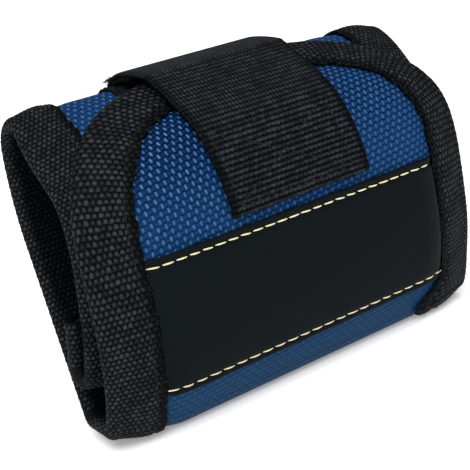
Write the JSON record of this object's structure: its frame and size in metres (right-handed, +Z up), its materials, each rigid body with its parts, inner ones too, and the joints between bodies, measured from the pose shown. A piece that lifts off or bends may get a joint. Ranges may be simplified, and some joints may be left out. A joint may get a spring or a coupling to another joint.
{
  "type": "magnetic wristband",
  "caption": "Padded woven magnetic wristband rolled up and held by its hook-and-loop strap, with bound edges, a bare label panel and a flap that opens at the bottom fold.",
  "frame": {"origin": "centre of the flat bottom fold that the roll stands on, in the middle of its box", "axes": "+X along the roll, left to right seen from the label; +Y to the back; +Z up"},
  "size_m": [0.1082, 0.0454, 0.0734],
  "materials": {
    "cover_cloth": "blue ballistic weave with a slight sheen",
    "edge_binding": "black ribbed binding tape",
    "padding_foam": "grey foam padding",
    "lining_mesh": "black mesh lining",
    "label_leatherette": "smooth black leatherette",
    "magnet_nickel": "nickel plated",
    "loop_pile": "black brushed loop pile",
    "strap_tape": "black woven hook tape"
  },
  "bodies": {
    "roll": {"roll_cover": "cover_cloth", "roll_padding": "padding_foam", "roll_lining": "lining_mesh", "roll_magnet_1": "magnet_nickel", "roll_magnet_2": "magnet_nickel", "roll_magnet_3": "magnet_nickel", "roll_magnet_4": "magnet_nickel", "roll_magnet_5": "magnet_nickel", "roll_magnet_6": "magnet_nickel", "roll_magnet_7": "magnet_nickel", "roll_magnet_8": "magnet_nickel", "roll_magnet_9": "magnet_nickel", "left_binding": "edge_binding", "right_binding": "edge_binding", "end_binding": "edge_binding", "loop_strip": "loop_pile"},
    "flap": {"front_cover": "cover_cloth", "front_padding": "padding_foam", "front_lining": "lining_mesh", "front_binding": "edge_binding", "label_panel": "label_leatherette", "strap_base": "strap_tape", "front_magnet_1": "magnet_nickel", "front_magnet_2": "magnet_nickel", "front_magnet_3": "magnet_nickel", "front_magnet_4": "magnet_nickel", "front_magnet_5": "magnet_nickel", "front_magnet_6": "magnet_nickel"},
    "tail": {"strap_tail": "strap_tape", "hook_patch": "strap_tape"}
  },
  "joints": [
    {"name": "flap_open", "type": "hinge", "parent": "roll", "child": "flap", "pos_m": [0, -0.01608, 0.00363], "axis": [1, 0, 0], "range_deg": [0, 80]},
    {"name": "strap_lift", "type": "hinge", "parent": "flap", "child": "tail", "pos_m": [0, -0.00128, 0.07229], "axis": [1, 0, 0], "range_deg": [0, 120]}
  ]
}
